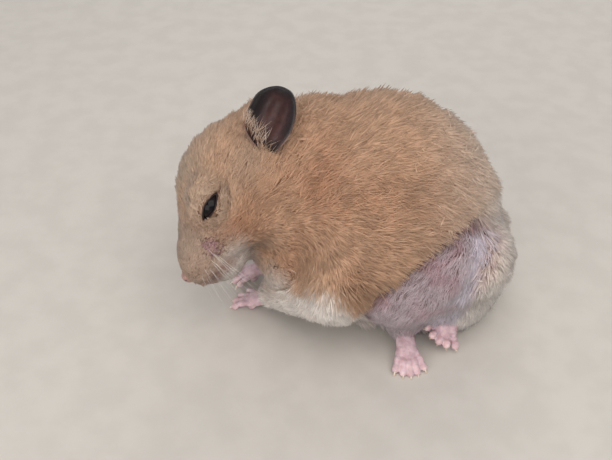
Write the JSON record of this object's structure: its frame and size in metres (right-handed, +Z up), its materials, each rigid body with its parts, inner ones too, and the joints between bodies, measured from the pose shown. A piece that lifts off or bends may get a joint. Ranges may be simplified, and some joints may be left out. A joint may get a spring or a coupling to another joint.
{
  "type": "syrian hamster model",
  "caption": "Life-size still model of a Syrian hamster hunched over its forepaws, its head bowed, with golden fur, a dark upright ear, pink paws and a short tail.",
  "frame": {"origin": "a point of the belly's flat on the floor, under the middle of the chest and belly", "axes": "+X along the body from the snout to the rump, +Y to the animal's right, +Z up"},
  "size_m": [0.0915, 0.0637, 0.071],
  "materials": {
    "golden_coat": "soft golden fur, paler below",
    "bare_pink_skin": "thin pink skin, slightly moist",
    "dark_ear_skin": "thin dark skin with fine down",
    "black_eye": "wet black gloss"
  },
  "bodies": {
    "root": {"head": "golden_coat", "neck": "golden_coat", "trunk": "golden_coat", "foreleg_left": "golden_coat", "foreleg_right": "golden_coat", "hindleg_left": "golden_coat", "hindleg_right": "golden_coat", "tail": "golden_coat", "forepaw_left": "bare_pink_skin", "forepaw_right": "bare_pink_skin", "hindfoot_left": "bare_pink_skin", "hindfoot_right": "bare_pink_skin", "nose": "bare_pink_skin", "ear_left": "dark_ear_skin", "ear_right": "dark_ear_skin", "eye_left": "black_eye", "eye_right": "black_eye"}
  },
  "joints": []
}
